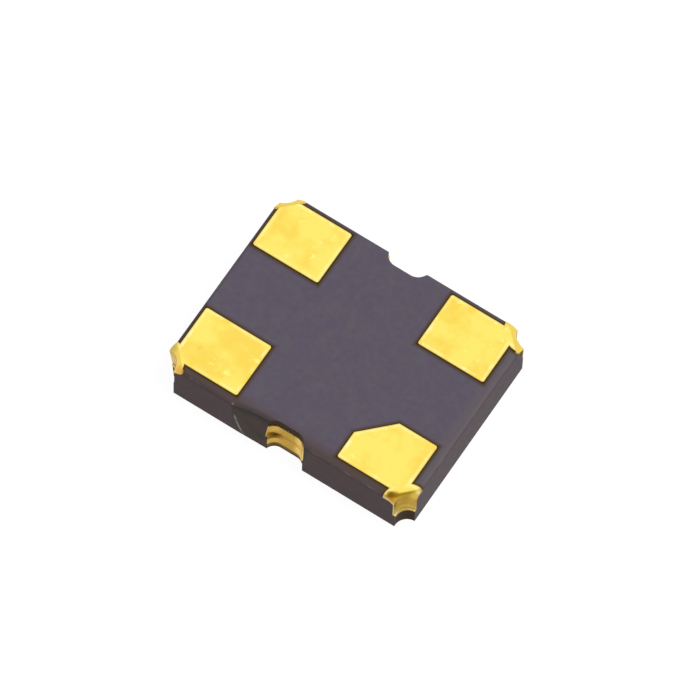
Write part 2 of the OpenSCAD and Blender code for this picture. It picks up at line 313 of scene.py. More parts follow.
def print_distance(f):
    """Distance from the nearest printed pad or collar, in millimetres, below 0 inside it."""
    x, y = f.less(f.x, PRINT_SHIFT.x), f.less(f.y, PRINT_SHIFT.y)
    u, v = f.size(x), f.size(y)
    sides = f.math("MAXIMUM",
                   f.less(f.size(f.less(u, PAD_X)), PAD_L / 2),
                   f.less(f.size(f.less(v, PAD_Y)), PAD_W / 2))
    index_line = INDEX_CUT + PAD_X - PAD_L / 2 + PAD_Y - PAD_W / 2
    index = f.math("DIVIDE", f.less(index_line, f.math("ADD", u, v)), math.sqrt(2))
    first = f.times(f.fade(x, 0.0, 0.02), f.fade(y, 0.0, -0.02))
    index = f.less(f.times(f.math("ADD", index, 1.0), first), 1.0)
    off_corner = f.slant(f.less(u, BODY_L / 2), f.less(v, BODY_W / 2))
    return f.math("MINIMUM", f.math("MAXIMUM", sides, index), f.less(off_corner, COLLAR_R))


def recess(f):
    """1 on the walls of the notches and castellations, 0 on the outside faces."""
    from_side = f.less(BODY_W / 2, f.size(f.y))
    from_end = f.less(BODY_L / 2, f.size(f.x))
    inside = f.fade(from_side, 0.0, 0.012)
    near_notch = f.fade(f.size(f.x), NOTCH_L / 2 + 0.03, NOTCH_L / 2)
    notch_wall = f.times(inside, near_notch, f.fade(from_side, NOTCH_D + 0.03, NOTCH_D + 0.01))
    off_corner = f.slant(from_side, from_end)
    corner_wall = f.times(inside, f.fade(from_end, 0.0, 0.012),
                          f.fade(off_corner, CAST_R + 0.03, CAST_R + 0.01))
    return f.math("MAXIMUM", notch_wall, corner_wall)


def from_break(f, half_x):
    """How far along X from the break's middle, as a share of this half width."""
    return f.math("DIVIDE", f.less(f.x, BREAK_MIDDLE.x), half_x)


def fired_alumina():
    """Dark alumina: purplish fired skin on the flat faces, browner snapped sides."""
    f = Finish("fired_alumina", Specular_IOR_Level=0.03)
    fine = f.noise(16.0, 3.0, 0.5)
    cloud = f.noise(5.0, 3.0, 0.6)
    broad = f.noise(1.1, 2.0)
    skin = f.mix(f.fade(cloud, 0.3, 0.7), (0.109, 0.086, 0.128), (0.112, 0.098, 0.128))
    skin = f.tint(skin, (0.140, 0.118, 0.132), 0.2, broad)
    skin = f.tint(skin, (0.072, 0.062, 0.084), 0.35, f.fade(fine, 0.8, 0.2))
    underside = skin

    inwards = f.math("DIVIDE", f.less(f.y, BREAK_MIDDLE.y), 0.13)
    across = from_break(f, BREAK_HALF_X * 1.15)
    off_break = f.math("ADD", f.times(across, across), f.times(inwards, inwards))
    gap = print_distance(f)
    for colour, share, pattern in (
        # Painted shade: darker towards the soft front edge.
        ((0.094, 0.066, 0.070), 0.75, f.fade(f.y, FRONT_Y + 0.22, FRONT_Y + 0.08)),
        ((0.080, 0.054, 0.048), 0.75, f.fade(f.y, FRONT_Y + 0.11, FRONT_Y + 0.05)),
        # Painted highlight: lighter towards the end at high X.
        ((0.124, 0.108, 0.112), 0.60, f.fade(f.x, HIGH_X - 0.22, HIGH_X - 0.06)),
        # Painted shade on the top face along the break's upper edge.
        ((0.050, 0.042, 0.042), 0.75, f.fade(off_break, 1.0, 0.35)),
        ((0.074, 0.046, 0.020), 0.90, f.fade(gap, 0.060, 0.012)),   # painted shadow along the edges of the prints, brown
        ((0.030, 0.016, 0.008), 0.80, f.fade(gap, 0.022, 0.004)),   # painted shadow, its darkest line
    ):
        skin = f.tint(skin, colour, share, pattern)
    skin = f.mix(f.fade(f.z, Z_SHELF, Z_FLOOR), underside, skin)
    skin = f.tint(skin, (0.34, 0.31, 0.33), 0.5, f.grains(1.3, 0.012))
    # Painted sheen: a little white mixed in, standing in for reflection.
    painted_sheen = (1.0, 1.0, 1.0)
    skin = f.mix(0.008, skin, painted_sheen)

    streaks = f.noise(6.0, 4.0, 0.55, stretch=(1.0, 1.0, 0.6), offset=(3.0, 1.0, 0.0))
    side = f.mix(streaks, (0.080, 0.053, 0.057), (0.094, 0.067, 0.071))
    seams = f.math("MAXIMUM", f.band(f.z, Z_SHELF, 0.006), f.band(f.z, Z_FLOOR, 0.006))
    side = f.tint(side, (0.03, 0.02, 0.02), 0.2, seams)
    side = f.mix(f.fade(f.x, HIGH_X - 0.02, HIGH_X - 0.005), side, (0.080, 0.061, 0.067))
    # Painted shade: the walls of the notches and castellations turned dark brown.
    side = f.tint(side, (0.044, 0.022, 0.007), 0.97, recess(f))

    facing = f.size(f.facing_up())
    tone = f.mix(f.fade(facing, 0.15, 0.95), side, skin)
    # Painted highlight: lighter where the faces round over at their edges.
    tone = f.tint(tone, (0.17, 0.14, 0.15), 0.7,
                  f.fade(facing, 0.30, 0.62), f.fade(facing, 0.94, 0.72),
                  f.fade(f.noise(6.0, 3.0, 0.6), 0.45, 0.85))
    # A painted highlight where the break's rim meets the top edge.
    break_corner_highlight = BREAK_MIDDLE + Vector((-0.98 * BREAK_HALF_X, 0.015, 0.01))
    f.colour(f.marks(tone, (break_corner_highlight, 0.026, 0.0, 0.6, (0.30, 0.24, 0.28))))
    f.roughness(f.fade(fine, -3.0, 4.0))
    f.relief((f.times(fine, f.fade(facing, 0.0, 0.9)), 0.0007), (seams, -0.0012))
    return f.material


def fresh_break():
    """The bare grain where a shell has broken out of the front side, with a painted highlight along
    its rim.
    """
    f = Finish("fresh_break", Specular_IOR_Level=0.04, Roughness=0.62)
    grain = f.noise(14.0, 5.0, 0.6)
    base = f.mix(grain, (0.054, 0.048, 0.038), (0.084, 0.076, 0.061))
    patches = f.noise(4.0, 3.0, 0.6, offset=(5.0, 0.0, 2.0))
    base = f.tint(base, (0.098, 0.064, 0.060), 0.7, f.fade(patches, 0.42, 0.60))
    # Painted shade: darker towards the terminal face, under the break's upper edge.
    base = f.mix(f.fade(f.z, Z_TOP - 0.16, Z_TOP - 0.01), base, (0.050, 0.042, 0.040))
    across = from_break(f, BREAK_HALF_X)
    down = f.math("DIVIDE", f.less(f.z, BREAK_MIDDLE.z), BREAK_HALF_Z)
    uneven = f.noise(7.0, 3.0, 0.6, offset=(2.0, 5.0, 1.0))
    # Painted highlight: a pale band along the break's left rim.
    f.colour(f.tint(base, (0.33, 0.33, 0.31), 0.85,
                    f.band(f.slant(across, down), 0.95, 0.045), f.fade(across, -0.35, -0.6),
                    f.fade(f.z, 0.62, 0.53), f.fade(uneven, 0.2, 0.55)))
    f.relief((grain, 0.005), (f.noise(45.0, 2.0), 0.0012))
    return f.material


def mouth_light_and_shade(f, tone):
    """Painted shade in the folds and painted highlights on the edges and near the ledge, in the
    castellation of terminal 1.
    """
    x0, y0 = HIGH_X, FRONT_Y
    near = f.spot((x0, y0, Z_TOP), 0.40, 0.34)
    off_corner = f.less(f.less(f.y, f.x), y0 - x0)
    # Painted shade: a dark line in the fold under the lip.
    tone = f.tint(tone, (0.34, 0.210, 0.010), 0.9,
                  f.band(off_corner, 0.282, 0.040), f.fade(f.x, x0 - 0.03, x0 - 0.09), near)
    # Painted highlight: paler towards the ledge.
    tone = f.tint(tone, (0.60, 0.490, 0.150), 0.85,
                  f.fade(f.z, Z_SHELF + 0.12, Z_SHELF + 0.06), near)
    # Painted shade in the dark spots, deep in the wall and in the folds near the front side;
    # painted highlights in the pale spots near the end face.
    tone = f.marks(
        tone,
        ((x0 - 0.11, y0 + 0.149, 0.700), 0.075, 0.020, 0.8, (0.40, 0.260, 0.010)),
        ((x0 - 0.04, y0 + 0.210, 0.795), 0.080, 0.010, 0.5, (0.74, 0.600, 0.140)),
        ((x0 - 0.025, y0 + 0.254, 0.825), 0.045, 0.010, 0.9, (0.88, 0.700, 0.300)),
        ((x0 - 0.245, y0 + 0.025, 0.815), 0.075, 0.010, 0.9, (0.46, 0.210, 0.020)),
        ((x0 - 0.260, y0 + 0.052, 0.850), 0.055, 0.015, 0.9, (0.22, 0.100, 0.006)),
        ((x0 - 0.235, y0 + 0.068, 0.848), 0.050, 0.015, 0.9, (0.22, 0.100, 0.006)),
        ((x0 - 0.205, y0 + 0.090, 0.838), 0.050, 0.010, 0.8, (0.30, 0.160, 0.008)))
    # Painted highlight: paler along the edge at the front side.
    return f.tint(tone, (0.62, 0.490, 0.210), 0.8, f.fade(f.y, y0 + 0.016, y0 + 0.006), near)


def corner_4_light_and_shade(f, tone):
    """Terminal 4's castellation: paler at the end face by painted highlights, browned where its lip
    meets the side by painted shade.
    """
    x0, y0 = -BODY_L / 2, -BODY_W / 2
    # Painted light and shade: pale spots on the end face as highlights; olive, orange and dark
    # spots as shade at the silhouette and where the lip meets the side.
    return f.marks(
        tone,
        ((x0 + 0.03, y0 + 0.150, 0.560), 0.260, 0.150, 0.9, (0.78, 0.550, 0.200)),
        ((x0 - 0.01, y0 + 0.220, 0.800), 0.110, 0.020, 0.9, (0.56, 0.440, 0.110)),
        ((x0 + 0.03, y0 + 0.170, 0.520), 0.100, 0.060, 0.7, (0.76, 0.590, 0.290)),
        ((x0 + 0.215, y0 + 0.020, 0.800), 0.100, 0.020, 0.9, (0.72, 0.420, 0.100)),
        ((x0 + 0.285, y0 + 0.030, 0.840), 0.065, 0.015, 0.9, (0.34, 0.190, 0.015)))


def notch_light_and_shade(f, tone):
    """The front side contact: painted shadow in a groove on its ledge, a painted highlight at one
    end and painted shade browning the other.
    """
    middle = f.less(f.x, FRONT_NOTCH_X)
    inside = f.times(f.fade(f.y, FRONT_Y + 0.3, FRONT_Y + 0.25), f.fade(f.size(middle), 0.35, 0.30))
    # Painted shadow in the groove on the ledge, at the left end.
    groove = f.times(f.band(f.z, Z_SHELF - 0.004, 0.045), f.band(middle, -0.165, 0.120))
    groove = f.math("MULTIPLY", groove, 1.25, clamp=True)
    low = side_low.z
    # Painted highlight at the right end; painted shade browning the left end.
    for colour, share, pattern in (
        ((0.90, 0.640, 0.190), 1.0, f.fade(middle, 0.05, 0.15)),
        ((0.66, 0.410, 0.100), 0.8, f.fade(middle, -0.07, -0.14)),
        ((0.42, 0.220, 0.040), 0.6, f.fade(middle, -0.225, -0.250)),
        ((0.90, 0.770, 0.440), 0.8, f.fade(f.facing_up(), 0.5, 0.9)),       # ledge, painted pale as a highlight
        ((0.090, 0.034, 0.001), 1.0, f.fade(f.z, low + 0.100, low + 0.045)),    # lower rim
        ((0.14, 0.078, 0.004), 1.0, groove),
    ):
        tone = f.tint(tone, colour, share, pattern, inside)
    return tone


def plated_gold():
    """Gold over a lumpy tungsten print: bright on flat faces, deeper on slopes and walls by painted
    shade, with painted highlights.
    """
    f = Finish("plated_gold", Metallic=1.0, Specular_Tint=(0.77, 0.74, 0.58, 1.0))
    lumps = f.noise(3.0, 3.0, 0.55)
    grain = f.noise(14.0, 2.0, 0.5)
    glints = f.noise(9.0, 2.0, 0.5, offset=(7.0, 3.0, 0.0))
    uneven = f.noise(5.0, 3.0, 0.6, offset=(1.0, 9.0, 0.0))
    rim_glint_spots = f.noise(8.0, 2.0, 0.5, offset=(3.0, 5.0, 0.0))
    gap = print_distance(f)
    flat = f.mix(f.fade(lumps, 0.34, 0.60), (0.99, 0.72, 0.110), (1.0, 0.84, 0.165))
    for colour, share, *patterns in (
        # Painted glints.
        ((1.0, 0.98, 0.26), 0.8, f.fade(glints, 0.64, 0.74)),
        ((0.94, 0.54, 0.08), 0.4, f.grains(2.0, 0.035, offset=(4.0, 2.0, 0.0))),    # stains
        # Painted highlight along the prints' raised rims.
        ((1.0, 0.95, 0.36), 0.75, f.band(gap, -0.026, 0.030), f.fade(uneven, 0.30, 0.62)),
        # Painted glints scattered along the rims.
        ((1.0, 1.0, 0.55), 0.7, f.band(gap, -0.028, 0.026), f.fade(rim_glint_spots, 0.56, 0.68)),
        # Painted shade: orange-brown on the prints' outer edges.
        ((0.66, 0.36, 0.08), 0.7,
         f.fade(gap, -0.015, 0.0), f.fade(f.z, Z_TOP - 0.10, Z_TOP - 0.06)),
        ((1.0, 0.95, 0.66), 1.0, f.band(f.z, Z_SHELF + PLATE_T, 0.008)),    # painted highlight on the ledges
    ):
        flat = f.tint(flat, colour, share, *patterns)
    runs = f.noise(16.0, 3.0, 0.6, stretch=(1.0, 1.0, 0.3))
    # Painted shade: slopes and upright walls get darker copies of the gold.
    wall = f.mix(runs, (0.42, 0.240, 0.036), (0.58, 0.360, 0.056))
    slope = f.mix(lumps, (0.84, 0.58, 0.095), (0.98, 0.72, 0.150))
    # Painted shade on the slope near terminal 1.
    slope = f.mix(f.spot((HIGH_X, FRONT_Y, Z_TOP), 0.36, 0.30), slope, (0.56, 0.350, 0.045))
    facing = f.facing_up()
    shade = f.mix(f.fade(facing, 0.25, 0.62), wall, slope)
    tone = f.mix(f.fade(facing, 0.74, 0.97), shade, flat)
    # Painted light and shade on the castellations of terminals 1 and 4 and on the front side
    # contact.
    for worn in (mouth_light_and_shade, corner_4_light_and_shade, notch_light_and_shade):
        tone = worn(f, tone)
    f.colour(tone)
    f.roughness(f.fade(grain, -0.45, 2.3))
    f.relief((lumps, 0.0020), (grain, 0.00015))
    return f.material


def brushed_metal(name, dark, light, roughness, stretch):
    """A rolled metal with fine lines along one way: the finish and its colour pattern."""
    f = Finish(name, Metallic=1.0)
    lines = f.noise(18.0, 4.0, 0.6, stretch=stretch)
    cloud = f.noise(2.5, 2.0)
    base = f.mix(f.times(f.math("ADD", lines, cloud), 0.5), dark, light)
    f.colour(base)
    f.roughness(f.fade(lines, -roughness * 2, 2.0))
    f.relief((lines, 0.0006), (f.noise(55.0, 2.0), 0.0004))
    return f, base


def ring_alloy():
    """The iron, nickel and cobalt alloy of the seal ring, drawn along its upright sides."""
    f, _ = brushed_metal("ring_alloy", (0.42, 0.38, 0.31), (0.64, 0.59, 0.50), 0.3,
                         (1.0, 1.0, 0.15))
    return f.material


def nickel_lid():
    """Nickel-plated lid sheet, with the overlapping spots of the seam weld round its edge."""
    f, base = brushed_metal("nickel_lid", (0.48, 0.47, 0.44), (0.72, 0.71, 0.68), 0.28,
                            (0.12, 1.0, 1.0))
    weld_pitch = 0.055
    tracks = []
    for along, across, half in ((f.x, f.y, lid_high.y), (f.y, f.x, lid_high.x)):
        wave = f.math("SINE", f.times(along, 2 * math.pi / weld_pitch))
        tracks.append(f.times(f.fade(f.less(half, f.size(across)), 0.17, 0.13),
                              f.math("MULTIPLY_ADD", wave, 0.5, 0.5)))
    seam = f.math("MAXIMUM", *tracks)
    f.colour(f.tint(base, (0.33, 0.29, 0.25), 0.5, seam))
    f.relief((seam, 0.003), (f.noise(55.0, 2.0), 0.0004))
    return f.material


def braze_metal():
    f = Finish("silver_braze", Metallic=1.0)
    cloud = f.noise(7.0, 3.0)
    f.colour(f.mix(cloud, (0.60, 0.58, 0.52), (0.83, 0.81, 0.75)))
    f.roughness(f.fade(cloud, -0.3, 2.4))
    f.relief((cloud, 0.003))
    return f.material


def clear_quartz():
    f = Finish("lapped_quartz", Transmission_Weight=1.0, IOR=1.54)
    lap = f.noise(60.0, 3.0)
    f.colour(f.mix(lap, (0.88, 0.93, 0.95), (0.97, 0.985, 0.99)))
    f.roughness(f.fade(lap, -0.2, 4.0))
    f.relief((lap, 0.0004))
    return f.material


def bright_film():
    f = Finish("electrode_metal", Metallic=1.0)
    cloud = f.noise(9.0, 3.0)
    f.colour(f.mix(cloud, (0.78, 0.79, 0.81), (0.90, 0.90, 0.91)))
    f.roughness(f.fade(cloud, -0.1, 4.0))
    f.relief((f.noise(60.0, 2.0), 0.0003))
    return f.material


def filled_adhesive():
    f = Finish("silver_filled_adhesive", Metallic=0.35)
    flakes = f.noise(45.0, 4.0, 0.7)
    f.colour(f.mix(flakes, (0.34, 0.34, 0.33), (0.62, 0.62, 0.61)))
    f.roughness(f.fade(flakes, -0.8, 1.4))
    f.relief((flakes, 0.002), (f.noise(9.0, 2.0), 0.004))
    return f.material


def die_silicon():
    """The die: ground bluish back, with plain blocks of wiring on the side of the bumps."""
    f = Finish("die_silicon", Metallic=0.6)
    grind = f.noise(40.0, 3.0, 0.6, stretch=(1.0, 0.1, 1.0))
    back = f.mix(grind, (0.17, 0.18, 0.23), (0.25, 0.27, 0.33))
    blocks = f.node("ShaderNodeTexBrick", {"offset": 0.5}, Scale=7.0, Mortar_Size=0.03,
                    Color1=(0.16, 0.20, 0.22, 1), Color2=(0.30, 0.22, 0.30, 1),
                    Mortar=(0.55, 0.48, 0.30, 1))
    f.join(f.place, blocks.inputs["Vector"])
    f.colour(f.mix(f.fade(f.facing_up(), 0.5, 0.9), back, blocks.outputs["Color"]))
    f.roughness(f.fade(grind, -0.5, 2.2))
    f.relief((grind, 0.0005))
    return f.material


ALUMINA = fired_alumina()
BREAK = fresh_break()
GOLD = plated_gold()
RING_ALLOY = ring_alloy()
NICKEL = nickel_lid()
BRAZE = braze_metal()
QUARTZ = clear_quartz()
FILM = bright_film()
ADHESIVE = filled_adhesive()
SILICON = die_silicon()


# ---- Modelling, in millimetres ----

def lowest(edge):
    return min(v.co.z for v in edge.verts)


def highest(edge):
    return max(v.co.z for v in edge.verts)


def upright(edge):
    a, b = (v.co.xy for v in edge.verts)
    return (a - b).length < HAIR


def along_top(edge):
    return lowest(edge) > Z_TOP - HAIR


def flat_ends(bm):
    """The edges that run round a piece's top and bottom faces."""
    return [e for e in bm.edges
            if len(e.link_faces) == 2
            and min(abs(f.normal.z) for f in e.link_faces) < 0.2
            and max(abs(f.normal.z) for f in e.link_faces) > 0.9]


def folds(bm, low, sharpest=0.35):
    """The edges above this level where two faces meet at more than this angle, outwards."""
    return [e for e in bm.edges if len(e.link_faces) == 2 and e.is_convex
            and lowest(e) > low and e.calc_face_angle() > sharpest]


def soften(bm, edges, width, segments=3):
    """Rounds these edges over."""
    if edges:
        bmesh.ops.bevel(bm, geom=edges, offset=width, offset_type="OFFSET", segments=segments,
                        profile=0.5, affect="EDGES", clamp_overlap=True, material=-1)


def turn(bm, degrees, axis, centre=(0, 0, 0)):
    bmesh.ops.rotate(bm, cent=centre, verts=bm.verts,
                     matrix=Matrix.Rotation(math.radians(degrees), 3, axis))


def block(low, high, corner=0.0, segments=8, wanted=upright):
    """A box between two corners, with the wanted edges rounded."""
    bm = bmesh.new()
    low, high = Vector(low), Vector(high)
    bmesh.ops.create_cube(bm, size=1.0)
    bmesh.ops.scale(bm, vec=high - low, verts=bm.verts)
    bmesh.ops.translate(bm, vec=(low + high) / 2, verts=bm.verts)
    if corner:
        soften(bm, [e for e in bm.edges if wanted(e)], corner, segments)
    return bm


def turned(profile, centre, steps):
    """A solid of revolution about an upright axis, from a closed outline of (radius, height)."""
    bm = bmesh.new()
    verts = [bm.verts.new((r, 0.0, z)) for r, z in profile]
    edges = [bm.edges.new(pair) for pair in zip(verts, verts[1:] + verts[:1])]
    bmesh.ops.spin(bm, geom=verts + edges, cent=(0, 0, 0), axis=(0, 0, 1), angle=2 * math.pi,
                   steps=steps, use_merge=True, use_duplicate=False)
    bmesh.ops.remove_doubles(bm, verts=bm.verts, dist=HAIR)
    bmesh.ops.translate(bm, vec=(*centre, 0.0), verts=bm.verts)
    bmesh.ops.recalc_face_normals(bm, faces=bm.faces)
    return bm


def drum(radius, low, high, centre):
    bm = bmesh.new()
    bmesh.ops.create_cone(bm, cap_ends=True, segments=ROUND, radius1=radius, radius2=radius,
                          depth=high - low)
    bmesh.ops.translate(bm, vec=(*centre, (low + high) / 2), verts=bm.verts)
    return bm


def as_object(bm, name, material):
    mesh = bpy.data.meshes.new(name)
    bm.to_mesh(mesh)
    bm.free()
    mesh.materials.append(material)
    made = bpy.data.objects.new(name, mesh)
    scene.collection.objects.link(made)
    return made


def finished_mesh(piece):
    """The mesh that a piece's modifiers make, which are then used up."""
    bpy.context.view_layer.update()
    shaped = piece.evaluated_get(bpy.context.evaluated_depsgraph_get())
    mesh = bpy.data.meshes.new_from_object(shaped)
    piece.modifiers.clear()
    return mesh


def combine(base, tool, operation="DIFFERENCE"):
    """Base cut by, joined to or kept inside tool. Both are objects; the tool is used up."""
    step = base.modifiers.new("combine", "BOOLEAN")
    step.object = tool
    step.operation = operation
    step.solver = "EXACT"
    step.material_mode = "TRANSFER"
    base.data = finished_mesh(base)
    bpy.data.objects.remove(tool)
    return base


def carve(base, bm, material=None, operation="DIFFERENCE"):
    return combine(base, as_object(bm, "tool", material or base.data.materials[0]), operation)


def reopened(piece):
    bm = bmesh.new()
    bm.from_mesh(piece.data)
    return bm


def put_back(bm, piece):
    bm.to_mesh(piece.data)
    bm.free()
    return piece


def flatten_out(bm):
    """Merges doubled points and dissolves needless edges in flat faces."""
    bmesh.ops.remove_doubles(bm, verts=bm.verts, dist=SAME_PLACE)
    bmesh.ops.dissolve_limit(bm, angle_limit=math.radians(0.5), verts=bm.verts, edges=bm.edges,
                             delimit={"MATERIAL"})


def eased(piece, width, segments=3, above=-OVER):
    """A piece with the edges of its flat faces above this level rounded over."""
    bm = reopened(piece)
    flatten_out(bm)
    soften(bm, [e for e in flat_ends(bm) if lowest(e) > above], width, segments)
    return put_back(bm, piece)


def drop_needless_points(bm):
    """Dissolves points that join just two edges and lie on the line between their ends."""
    needless = []
    for v in bm.verts:
        if len(v.link_edges) == 2:
            a, b = (e.other_vert(v).co for e in v.link_edges)
            if (v.co - intersect_point_line(v.co, a, b)[0]).length < SAME_PLACE:
                needless.append(v)
    bmesh.ops.dissolve_verts(bm, verts=needless)


def deliver(piece, name, node):
    """Evens out a piece's shading, turns it into metres, names it and hangs it on the frame."""
    bm = reopened(piece)
    bmesh.ops.dissolve_degenerate(bm, dist=SAME_PLACE, edges=bm.edges)
    bmesh.ops.remove_doubles(bm, verts=bm.verts, dist=SAME_PLACE)
    drop_needless_points(bm)
    bmesh.ops.recalc_face_normals(bm, faces=bm.faces)
    put_back(bm, piece)
    piece.data.shade_smooth()
    piece.data.set_sharp_from_angle(angle=math.radians(SHARP))
    even = piece.modifiers.new("even shading", "WEIGHTED_NORMAL")
    even.keep_sharp = True
    even.thresh = 0.0
    mesh = finished_mesh(piece)
    piece.data = mesh
    mesh.transform(Matrix.Scale(MM, 4))
    piece.name = mesh.name = name
    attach(piece, "root")
    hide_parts(node)


# ---- The package ----

CORNERS = {1: (1, -1), 2: (1, 1), 3: (-1, 1), 4: (-1, -1)}
NOTCHES = {"front": (-1, FRONT_NOTCH_X), "rear": (1, REAR_NOTCH_X)}


def corner_at(sx, sy, shift=Vector((0.0, 0.0))):
    return Vector((sx * BODY_L / 2, sy * BODY_W / 2)) + shift


def break_tool():
    """The shell-shaped piece that is missing from the front side: a rippled shallow bowl."""
    rings, skew = 15.0, 4.0             # how close the ripples lie, and how uneven
    shallowest, taper = 0.25, 1.2       # the break gets shallower towards the lid
    bm = bmesh.new()
    bmesh.ops.create_grid(bm, x_segments=56, y_segments=72, size=1.0)
    bmesh.ops.scale(bm, vec=(BREAK_HALF_X * 1.5, BREAK_HALF_Z * 1.3, 1.0), verts=bm.verts)
    turn(bm, 90, "X")
    for v in bm.verts:
        reach = math.hypot(v.co.x / BREAK_HALF_X, v.co.z / BREAK_HALF_Z)
        ripple = RIPPLE * math.sin(reach * rings + v.co.x * skew) * min(reach, 1.0)
        height = (v.co.z + BREAK_MIDDLE.z - Z_RIM) / (Z_TOP - Z_RIM)
        fullness = min(max(shallowest, height), 1.0) ** taper
        v.co.y = (BREAK_D * (1.0 - reach ** 2) + ripple) * fullness
    back = bmesh.ops.extrude_face_region(bm, geom=bm.faces[:])
    for v in back["geom"]:
        if isinstance(v, bmesh.types.BMVert):
            v.co.y = -0.5
    bmesh.ops.translate(bm, vec=BREAK_MIDDLE, verts=bm.verts)
    bmesh.ops.recalc_face_normals(bm, faces=bm.faces)
    return bm


def rounded_block(raised=0.0):
    """The package as a plain block, with soft top edges and the leaning end at low X."""
    bm = block(body_low, body_high, EDGE_R, 8, along_top)
    for v in bm.verts:
        if v.co.z < Z_RIM + HAIR and v.co.x < 0:
            v.co.x += END_LEAN
    bmesh.ops.translate(bm, vec=(0, 0, raised), verts=bm.verts)
    return bm


def envelope():
    """The ceramic block with its break, before its castellations, notches and cavities."""
    return carve(as_object(rounded_block(), "block", ALUMINA), break_tool(), BREAK)


def corner_drum(sx, sy, radius, low, high, shift=0.0):
    return drum(radius, low, high, corner_at(sx, sy, CAST_SHIFT + Vector((shift, 0.0))))


def slope_tool(sx, sy, reach):
    """A block that stands on the 45 degree slope of a corner. The slope meets the terminal face
    at this distance from the corner, along the diagonal."""
    out = Vector((sx / 2, sy / 2, math.sqrt(0.5)))
    bm = block((-0.5, -0.5, 0.0), (0.5, 0.5, 0.5))
    bmesh.ops.rotate(bm, cent=(0, 0, 0), verts=bm.verts,
                     matrix=out.to_track_quat("Z", "Y").to_matrix())
    inward = Vector((-sx, -sy)) * reach / math.sqrt(2)
    bmesh.ops.translate(bm, vec=(*(corner_at(sx, sy) + inward), Z_TOP), verts=bm.verts)
    return bm


def notch(side, middle_x, inset, low, high):
    """A cutter for a side notch, smaller all round by the inset. Side is -1 at the front."""
    end_x = NOTCH_L / 2 - math.sqrt(NOTCH_R ** 2 - (NOTCH_R - NOTCH_D) ** 2)
    middle = Vector((middle_x, side * (BODY_W / 2 - NOTCH_D + NOTCH_R), 0.0))
    radius = NOTCH_R - inset
    reach = Vector((end_x + radius, radius, 0.0))
    bm = block(middle - reach + Vector((0, 0, low)), middle + reach + Vector((0, 0, high)),
               radius - HAIR, 24)
    bmesh.ops.remove_doubles(bm, verts=bm.verts, dist=SAME_PLACE)
    return bm


def ceramic():
    body = envelope()
    past_shelf = Z_SHELF + 0.02
    for sx, sy in CORNERS.values():
        carve(body, corner_drum(sx, sy, CAST_R, Z_SHELF, Z_TOP + OVER))
        carve(body, corner_drum(sx, sy, CAST_R - CAST_STEP, Z_RIM - OVER, past_shelf, OUTER_SHIFT))
        carve(body, slope_tool(sx, sy, SLOPE_REACH))
    for side, middle_x in NOTCHES.values():
        carve(body, notch(side, middle_x, 0.0, Z_SHELF, Z_TOP + OVER))
        carve(body, notch(side, middle_x + OUTER_SHIFT, NOTCH_STEP, Z_RIM - OVER, past_shelf))
    inner_x, inner_y = BODY_L / 2 - RIM_W, BODY_W / 2 - RIM_W
    carve(body, block((-inner_x, -inner_y, Z_RIM - OVER), (inner_x, inner_y, Z_SHELF), CAVITY_R))
    carve(body, block((-inner_x + MOUNT_SHELF_W, -inner_y + SIDE_SHELF_W, Z_SHELF - OVER),
                      (inner_x - FREE_SHELF_W, inner_y - SIDE_SHELF_W, Z_FLOOR), CAVITY_R))
    deliver(body, "package_ceramic", "ceramic_package")


def collar_print(sx, sy):
    """The round print that joins a pad to its castellation, bent down over the soft edges."""
    centre = corner_at(sx, sy, PRINT_SHIFT)
    piece = as_object(drum(COLLAR_R, Z_TOP - EDGE_R - OVER, Z_TOP + OVER, centre), "collar", GOLD)
    carve(piece, rounded_block(Z_PAD - Z_TOP), operation="INTERSECT")
    return carve(piece, rounded_block(-BURY))


def pad_print(number, sx, sy):
    """The flat print, with the index cut on terminal 1."""
    middle = Vector((sx * PAD_X + PRINT_SHIFT.x, sy * PAD_Y + PRINT_SHIFT.y, 0.0))
    half = Vector((PAD_L / 2, PAD_W / 2, 0.0))
    piece = as_object(block(middle - half + Vector((0, 0, Z_TOP - BURY)),
                            middle + half + Vector((0, 0, Z_PAD)), PAD_R, 6), "pad", GOLD)
    if number == 1:
        leg = INDEX_CUT / math.sqrt(2)
        tool = block((-leg, -leg, Z_TOP - OVER), (leg, leg, Z_PAD + OVER))
        turn(tool, 45, "Z")
        bmesh.ops.translate(tool, vec=middle - Vector((sx * half.x, sy * half.y, 0)),
                            verts=tool.verts)
        carve(piece, tool)
    return eased(piece, PRINT_R, above=Z_PAD - HAIR)


def flare(bm):
    """Bends terminal 4's plating outwards at the end face, as snapping the panel leaves it."""
    for v in bm.verts:
        lean = END_LEAN * max(0.0, Z_TOP - EDGE_R - v.co.z) / (Z_TOP - EDGE_R - Z_RIM)
        if v.co.x < body_low.x + lean + FLARE_SKIN:
            rise = min(max((v.co.z - Z_SHELF) / (FLARE_TIP - Z_SHELF), 0.0), 1.0)
            along = min(max((body_low.y + FLARE_REACH - v.co.y) / FLARE_FADE, 0.0), 1.0)
            v.co.x -= FLARE * rise * along


